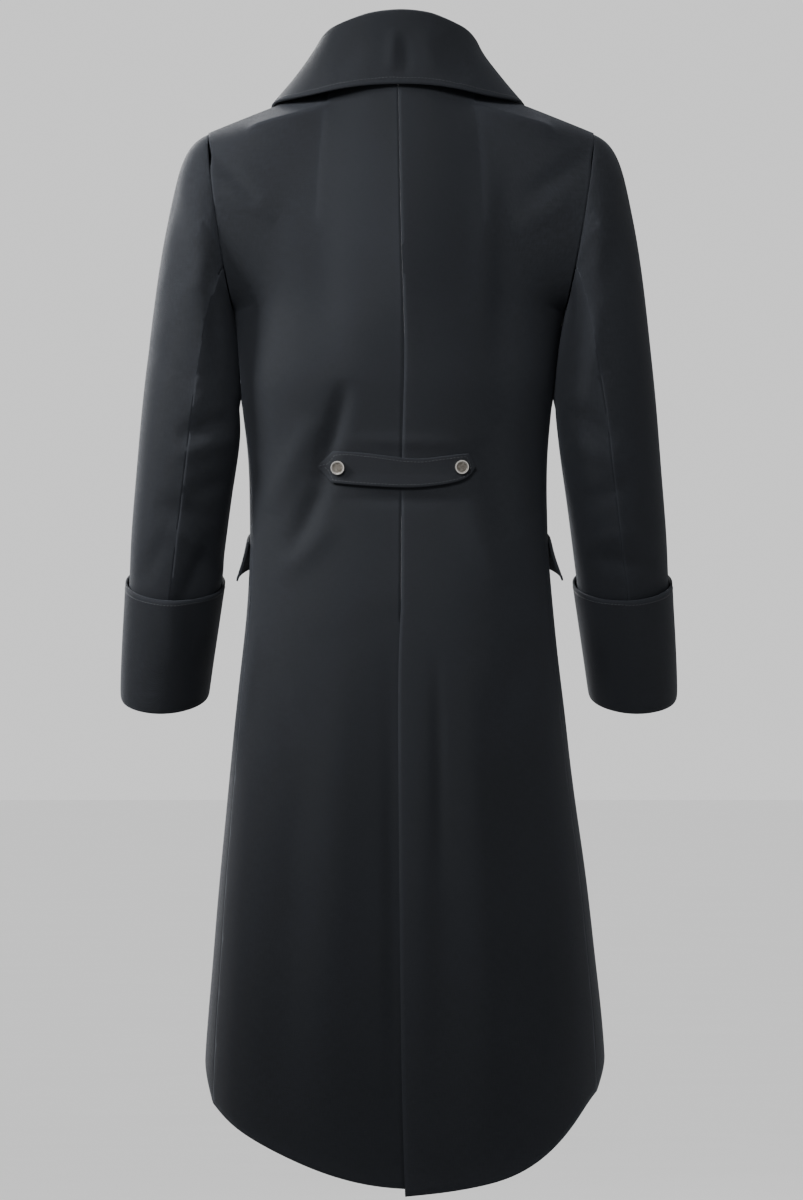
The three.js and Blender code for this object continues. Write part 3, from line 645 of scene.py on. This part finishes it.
# %% [markdown]
# ## The body of the coat
# Two backs with the centre seam and vent, two fronts cut away to the side. The creases are summed
# over all of them at once, so a fold runs on across a seam as it does on the real coat.

# %% Backs, fronts, lapels and flaps
SIDE_BEYOND = 0.15


def body_lift(points):
    on_side = np.abs(points[:, 0]) > SIDE_BEYOND
    toward = half_gap(points) - PRESS["dent"]
    return crease_lift(points, BODY_CREASES) + toward * press(points, "body") * on_side


cloth = {}
for side in SIDES:
    for family in ("back", "front", "lapel", "pocket_flap"):
        node = f"{family}_{side}"
        cloth[node] = make_cloth(node, body_lift)
print("body pieces:", sorted(cloth))

# %% Half belt
BELT = {"edge": -0.436, "fade": 0.012, "all": 0.4 * MM, "edge_more": 1.3 * MM}


def belt_lift(points):
    """The belt follows the back's creases, and its lower edge stands off a little."""
    low = np.clip((BELT["edge"] - points[:, 2]) / BELT["fade"], 0, 1)
    return body_lift(points) + BELT["all"] + BELT["edge_more"] * low


cloth["half_belt"] = make_cloth("half_belt", belt_lift)
print("half belt faces:", len(cloth["half_belt"].data.polygons))

# %% [markdown]
# ## Sleeves, cuffs and collar
# A sleeve is cut in two, a wide top and a narrow under piece, and bends forward at the elbow. Its
# folds fan out from the elbow and pile up above the turned-back cuff. The collar is two layers
# pressed over a roll, so it only dents softly.

# %% Sleeves, cuffs and collar
ARMHOLE = {"x": 0.2, "near": 0.02, "bottom": -0.25, "fade": 0.05}
ARM_WEAVE = (0.24, -0.02, 0.055)       # middle x, middle y and radius of the ring


def arm_middle(points):
    return np.interp(-points[:, 2], -ARM_LINE[:, 2], ARM_LINE[:, 1])


def sleeve_lift(side):
    """Near the armhole a sleeve takes the body's creases, so that their seam stays closed."""
    def lift(points):
        from_body = np.abs(points[:, 0]) - ARMHOLE["x"]
        above = np.clip((points[:, 2] - ARMHOLE["bottom"]) / ARMHOLE["fade"], 0, 1)
        near_body = np.clip(1 - np.abs(from_body) / ARMHOLE["near"], 0, 1) * above
        near_arm = crease_lift(points, SLEEVE_CREASES[side], arm_middle(points)) * (1 - near_body)
        inner = from_body < 0
        pressed = (half_gap(points) + PRESS["dent"]) * press(points, "arm") * inner
        return near_arm + near_body * crease_lift(points, BODY_CREASES) + pressed
    return lift


def cuff_lift(points):
    return crease_lift(points, CUFF_CREASES, arm_middle(points))


def collar_lift(points):
    return crease_lift(points, COLLAR_CREASES)


for side, sign in zip(SIDES, (1, -1)):
    arm = (ARM_WEAVE[0] * sign, *ARM_WEAVE[1:])
    for family in ("sleeve_top", "sleeve_under"):
        node = f"{family}_{side}"
        cloth[node] = make_cloth(node, sleeve_lift(side), out_of_arm, arm)
    cloth[f"cuff_{side}"] = make_cloth(f"cuff_{side}", cuff_lift, out_of_arm, arm)
cloth["collar"] = make_cloth("collar", collar_lift)
print("cloth pieces:", len(cloth), "faces:", sum(len(o.data.polygons) for o in cloth.values()))

# %% [markdown]
# ## Stitches
# The turned edges of the collar, lapels, cuffs, flaps and half belt are held by one row of small
# stitches. A row could be painted, but real stitches catch the light. Geometry Nodes sets one
# small spindle of thread after another along a curve. The route is a rough line of points beside
# the edge, and each of its points is dropped onto the cloth from outside.

# %% Thread
THREAD_DARK, THREAD_PALE = (0.0045, 0.005, 0.006, 1), (0.016, 0.0175, 0.021, 1)


def thread_material():
    material, start, shader = new_material("sewing_thread")
    place = start.node("ShaderNodeTexCoord", output=3)
    twist = start.node("ShaderNodeTexNoise", i0=place, Scale=2500.0, Detail=2.0)
    feed(shader, "Base Color", twist.mix(THREAD_DARK, THREAD_PALE))
    feed(shader, "Roughness", (twist * 0.2 + 0.45).clamp(0.0, 1.0))
    shader.inputs["Specular IOR Level"].default_value = 0.3
    return material


THREAD = thread_material()
print("thread:", THREAD.name)

# %% [markdown]
# ## The stitch tree
# The tree takes a curve and three sizes. It puts a point at every pitch, which is one stitch and
# one gap, and sets on each a small ball that is drawn out along the curve. Nothing in it is random.

# %% Stitch tree
SPINDLE_SIDES, SPINDLE_RINGS = 6, 5


def stitch_tree():
    tree = bpy.data.node_groups.new("stitches", "GeometryNodeTree")
    face = tree.interface
    face.new_socket("Geometry", in_out="INPUT", socket_type="NodeSocketGeometry")
    for title in ("Stitch length", "Gap", "Thread radius"):
        face.new_socket(title, in_out="INPUT", socket_type="NodeSocketFloat")
    face.new_socket("Geometry", in_out="OUTPUT", socket_type="NodeSocketGeometry")
    link, new = tree.links.new, tree.nodes.new
    given, result = new("NodeGroupInput"), new("NodeGroupOutput")
    pitch = new("ShaderNodeMath")
    link(given.outputs["Stitch length"], pitch.inputs[0])
    link(given.outputs["Gap"], pitch.inputs[1])
    points = new("GeometryNodeCurveToPoints")
    points.mode = "LENGTH"
    link(given.outputs["Geometry"], points.inputs["Curve"])
    link(pitch.outputs[0], points.inputs["Length"])
    half = new("ShaderNodeMath")
    half.operation = "MULTIPLY"
    half.inputs[1].default_value = 0.5
    link(given.outputs["Stitch length"], half.inputs[0])
    size = new("ShaderNodeCombineXYZ")
    link(given.outputs["Thread radius"], size.inputs[0])
    link(given.outputs["Thread radius"], size.inputs[1])
    link(half.outputs[0], size.inputs[2])
    spindle = new("GeometryNodeMeshUVSphere")
    spindle.inputs["Segments"].default_value = SPINDLE_SIDES
    spindle.inputs["Rings"].default_value = SPINDLE_RINGS
    spindle.inputs["Radius"].default_value = 1.0
    place = new("GeometryNodeInstanceOnPoints")
    link(points.outputs["Points"], place.inputs["Points"])
    link(spindle.outputs["Mesh"], place.inputs["Instance"])
    link(points.outputs["Rotation"], place.inputs["Rotation"])
    link(size.outputs[0], place.inputs["Scale"])
    real, finish = new("GeometryNodeRealizeInstances"), new("GeometryNodeSetMaterial")
    finish.inputs["Material"].default_value = THREAD
    link(place.outputs["Instances"], real.inputs[0])
    link(real.outputs[0], finish.inputs["Geometry"])
    link(finish.outputs[0], result.inputs[0])
    return tree


STITCH_TREE = stitch_tree()
STITCH = {"Stitch length": 2.8 * MM, "Gap": 1.2 * MM, "Thread radius": 0.32 * MM}
print("stitch tree nodes:", len(STITCH_TREE.nodes))

# %% [markdown]
# ## Laying a row
# A rough route is filled in every three millimetres. Each point starts a little outside the coat
# and goes to the nearest place on the finished cloth, so a row follows every crease below it. The
# guide with its modifier is gone before the row is made, and only plain mesh stays.

# %% Row helper
DROP = 5 * MM
ROUTE_STEP = 3 * MM
THREAD_LIFT = 0.1


def laid_on(piece, route, outward):
    surface = BVHTree.FromPolygons([v.co.copy() for v in piece.data.vertices],
                                   [tuple(p.vertices) for p in piece.data.polygons])
    rough = [Vector(p) * MM for p in route]
    laid = []
    for first, last in zip(rough, rough[1:]):
        count = max(1, round((last - first).length / ROUTE_STEP))
        for k in range(count):
            place = first.lerp(last, k / count)
            away = Vector(outward(np.array([place]))[0])
            spot, normal, _, _ = surface.find_nearest(place + away * DROP)
            laid.append(spot + normal * THREAD_LIFT * MM)
    return laid


def stitch_row(name, piece, route, outward=out_of_body):
    laid = laid_on(piece, route, outward)
    data = bpy.data.curves.new(name, "CURVE")
    data.dimensions = "3D"
    line = data.splines.new("POLY")
    line.points.add(len(laid) - 1)
    for point, place in zip(line.points, laid):
        point.co = (*place, 1)
    guide = bpy.data.objects.new(f"{name}_guide", data)
    bpy.context.scene.collection.objects.link(guide)
    sewn = guide.modifiers.new("stitches", "NODES")
    sewn.node_group = STITCH_TREE
    for item in STITCH_TREE.interface.items_tree:
        if item.name in STITCH:
            sewn[item.identifier] = STITCH[item.name]
    shown = guide.evaluated_get(bpy.context.evaluated_depsgraph_get())
    mesh = bpy.data.meshes.new_from_object(shown)
    bpy.data.objects.remove(guide)
    row = bpy.data.objects.new(name, mesh)
    bpy.context.scene.collection.objects.link(row)
    for polygon in mesh.polygons:
        polygon.use_smooth = True
    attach(row, "root")
    return len(mesh.polygons)


print("a stitch each", round((STITCH["Stitch length"] + STITCH["Gap"]) / MM, 1), "mm")

# %% [markdown]
# ## Where the rows run
# Routes are in millimetres, beside the edge of each piece. A route for the left side also serves
# the right, with its x turned over and moved by the little that the coat is off its middle.

# %% Routes
COLLAR_HALF_ROW = [
    (0, 67.4, 4.3), (21.6, 66.9, 3.9), (44.2, 65.2, 2.3), (67.8, 61, -0.8), (93.8, 51.4, -6.6),
    (117.2, 34.6, -11.1), (135.6, 11.7, -13.9), (142.7, -11.8, -16.6), (144.1, -35.6, -24.6),
    (140.8, -59.3, -39.7), (131.9, -84.2, -63.8), (122.3, -103.3, -85), (113.1, -116.8, -101.6),
]
LAPEL_ROW = [
    (136, -89.6, -95.4), (151.3, -99.8, -131.3), (148.6, -107.8, -165.1), (140.1, -113.5, -195.6),
    (118, -121.6, -220.2), (87, -131.4, -242.9), (29.4, -140.9, -269.9),
]
FLAP_ROW = [
    (173.1, 6.8, -513.1), (177.8, 7.9, -532.8), (183.9, 9.2, -551), (181.6, -23.3, -545.7),
    (172.7, -53.1, -539.3), (157.6, -77, -532.9), (140.6, -93.1, -527.4), (138.9, -90.6, -489.3),
]
CUFF_ROW = [
    (197.2, -53.1, -563), (201.6, -30.4, -571.3), (214, -11.3, -578.3), (232.4, 1.4, -582.9),
    (254, 5.8, -584.6), (275.6, 1.4, -583), (294, -11.3, -578.4), (306.4, -30.4, -571.5),
    (310.8, -53.1, -563.2), (306.4, -75.8, -554.9), (294, -95, -547.9), (275.6, -107.6, -543.3),
    (254, -112.1, -541.7), (232.4, -107.6, -543.2), (214, -95, -547.8), (201.6, -75.8, -554.8),
    (197.2, -53.1, -563),
]
BELT_ROW = [
    (88, 81, -428), (77, 83.5, -414.2), (56.3, 86.7, -414.6), (28.1, 88.4, -417.6),
    (0, 88.6, -421.6), (-22.1, 88.1, -423), (-44.3, 86.8, -420), (-62.5, 84.7, -417.6),
    (-73, 82.5, -416.8), (-78, 80.1, -428), (-73, 81.8, -437.4), (-62.5, 84.2, -441.5),
    (-44.3, 86.5, -445), (-22.1, 88, -447.5), (0, 88.4, -448), (28.1, 88, -446.5),
    (56.3, 85.9, -444.5), (77, 82.6, -442.1), (88, 81, -428),
]


ROUTES = {"collar": COLLAR_HALF_ROW, "lapel": LAPEL_ROW, "flap": FLAP_ROW, "cuff": CUFF_ROW,
          "belt": BELT_ROW}
print("route points:", {name: len(route) for name, route in ROUTES.items()})

# %% Sewing the rows
COLLAR_LEAN, LEAN_FULL = 6.4, 100
PAIRED_ROWS = [                        # name, kind of piece, shift to the right side, outward
    ("lapel", "lapel", 0.8, out_of_body),
    ("flap", "pocket_flap", 4.2, out_of_body),
    ("cuff", "cuff", 4.8, out_of_arm),
]


def turned(route, shift):
    return [(-x + shift, y, z) for x, y, z in route]


leaning = [(-x + COLLAR_LEAN * min(1, x / LEAN_FULL), y, z) for x, y, z in COLLAR_HALF_ROW]
faces = stitch_row("collar_stitches_left", cloth["collar"], COLLAR_HALF_ROW)
faces += stitch_row("collar_stitches_right", cloth["collar"], leaning)
for side in SIDES:
    for name, family, shift, away in PAIRED_ROWS:
        route = ROUTES[name] if side == "left" else turned(ROUTES[name], shift)
        faces += stitch_row(f"{name}_stitches_{side}", cloth[f"{family}_{side}"], route, away)
faces += stitch_row("belt_stitches", cloth["half_belt"], BELT_ROW)
print("stitch faces:", faces)

# %% [markdown]
# ## Studs
# The metal studs keep their turned shape from the frame and only get their finish: a bright worn
# rim and a darker sunk middle, where polish does not reach.

# %% Stud metal
SUNK_RADIUS, SUNK_SLOPE = 5.5 * MM, 1400.0
METAL_BRIGHT, METAL_DARK = (0.50, 0.485, 0.46, 1), (0.05, 0.044, 0.036, 1)


def stud_metal(place, facing):
    """Metal for a stud whose middle is at place and whose face looks along facing, in metres."""
    material, start, shader = new_material("stud_metal")
    coord = start.node("ShaderNodeTexCoord", output=3)
    vector = "ShaderNodeVectorMath"
    from_middle = start.node(vector, {"operation": "SUBTRACT"}, i0=coord, i1=place)
    across = start.node(vector, {"operation": "CROSS_PRODUCT"}, i0=from_middle, i1=facing)
    radius = start.node(vector, {"operation": "LENGTH"}, output=1, i0=across)
    sunk = 1.0 - ((radius - SUNK_RADIUS) * SUNK_SLOPE).clamp(0.0, 1.0)
    grime = start.node("ShaderNodeTexNoise", i0=coord, Scale=420.0, Detail=4.0)
    dark = (sunk * 0.8 + grime * 0.5 - 0.12).clamp(0.0, 1.0)
    feed(shader, "Base Color", dark.mix(METAL_BRIGHT, METAL_DARK))
    feed(shader, "Roughness", (grime * 0.25 + sunk * 0.2 + 0.12).clamp(0.0, 1.0))
    shader.inputs["Metallic"].default_value = 1.0
    return material


studs = [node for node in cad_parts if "stud" in node]
for node in studs:
    low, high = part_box(node)
    behind = node.startswith("belt")
    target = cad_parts[node]
    target.data.materials.clear()
    middle = (Vector(low) + Vector(high)) / 2
    target.data.materials.append(stud_metal(middle, (0, 1 if behind else -1, 0)))
print("studs:", studs)

# %% [markdown]
# ## Floor and light
# The coat keeps the height it has on its wearer, so it hangs clear of a plain pale floor. Seen from
# the camera, the key light stands high at the left and is narrow, so that it fades towards the hem
# as in the photo. A side light makes the left sleeve the palest part. A weak broad one fills in
# from the right, and one beyond the coat lights its front. The room is pale all round.

# %% Floor
FLOOR_BELOW = 0.12
FLOOR_HALF = 60
PAPER, PAPER_PALE = (0.86, 0.86, 0.86, 1), (0.9, 0.9, 0.9, 1)


def stage_floor():
    mesh = bpy.data.meshes.new("floor")
    made = bmesh.new()
    bmesh.ops.create_grid(made, x_segments=1, y_segments=1, size=FLOOR_HALF)
    made.to_mesh(mesh)
    made.free()
    for point in mesh.vertices:
        point.co.z = CAD_LOW.z - FLOOR_BELOW
    floor = bpy.data.objects.new("floor", mesh)
    bpy.context.scene.collection.objects.link(floor)
    material, start, shader = new_material("floor_paper")
    place = start.node("ShaderNodeTexCoord", output=3)
    shade = start.node("ShaderNodeTexNoise", i0=place, Scale=3.0)
    feed(shader, "Base Color", shade.mix(PAPER, PAPER_PALE))
    shader.inputs["Roughness"].default_value = 0.9
    mesh.materials.append(material)
    floor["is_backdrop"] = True


stage_floor()
print("floor at z =", round(CAD_LOW.z - FLOOR_BELOW, 3))

# %% Lights
LIGHTS = [                             # name, place, target, size, watts, spread in degrees
    ("key", (0.85, 2.2, 1.25), (0.0, 0.1, -0.18), (0.6, 0.6), 12.6, 42),
    ("side", (1.5, 0.4, 0.42), (0.27, 0, -0.27), (0.4, 0.6), 9.6, 44),
    ("fill", (-2.4, 2.4, 1.1), (-0.15, 0.1, -0.1), (1.2, 1.4), 4.2, 80),
    ("front", (1.3, -2.6, 0.9), (0, 0, -0.3), (1.6, 1.6), 110, 100),
]


def area_light(name, place, target, size, power, spread):
    data = bpy.data.lights.new(name, "AREA")
    data.shape = "RECTANGLE"
    data.size, data.size_y = size
    data.energy = power
    data.spread = math.radians(spread)
    light = bpy.data.objects.new(name, data)
    bpy.context.scene.collection.objects.link(light)
    light.location = place
    aim = Vector(target) - Vector(place)
    light.rotation_euler = aim.to_track_quat("-Z", "Y").to_euler()


for row in LIGHTS:
    area_light(*row)
world = bpy.data.worlds.new("room")
bpy.context.scene.world = world
world.use_nodes = True
background = world.node_tree.nodes["Background"]
background.inputs["Color"].default_value = (1, 1, 1, 1)
background.inputs["Strength"].default_value = 1.0
print("lights:", [row[0] for row in LIGHTS])

# %% [markdown] ## Sizes and the end The box of the packed solids was kept from the start, and the
# box of the finished coat is taken at the end.

# %% Sizes and the end
low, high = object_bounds()
